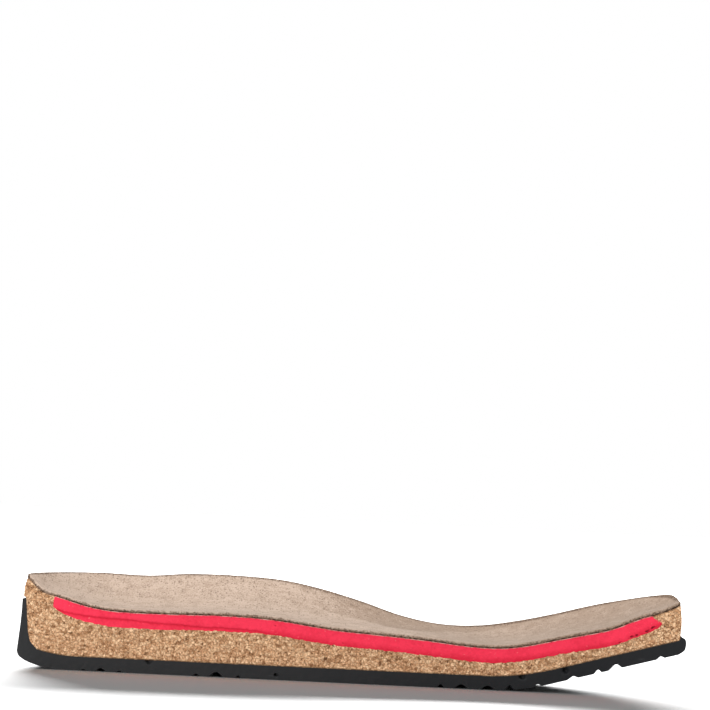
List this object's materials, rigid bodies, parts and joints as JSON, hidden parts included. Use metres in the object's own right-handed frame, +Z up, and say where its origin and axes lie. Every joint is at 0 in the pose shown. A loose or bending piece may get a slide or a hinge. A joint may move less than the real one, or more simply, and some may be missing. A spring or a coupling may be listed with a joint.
{
  "type": "cushioned footbed cutaway",
  "caption": "Lengthwise cutaway of a contoured cork footbed with a foam cushion, suede liner and moulded tread outsole.",
  "frame": {"origin": "middle of the footprint's box, on the plane that the tread stands on", "axes": "+X towards the toe, +Y away from the section face towards the arch side, +Z up"},
  "size_m": [0.269, 0.05, 0.0414],
  "materials": {
    "suede": "napped greige suede",
    "jute": "coarse jute weave, dark with bonding latex",
    "film": "pale translucent bond film",
    "cushion_foam": "bright red closed-cell foam, matte",
    "cork": "bonded cork granules, matte",
    "natural_jute": "plain jute weave",
    "sole_rubber": "black moulded EVA, satin skin"
  },
  "bodies": {
    "root": {"suede_liner": "suede", "upper_scrim": "jute", "bond_film": "film", "foam_insert": "cushion_foam", "cork_core": "cork", "lower_scrim": "natural_jute", "outsole": "sole_rubber"}
  },
  "joints": []
}
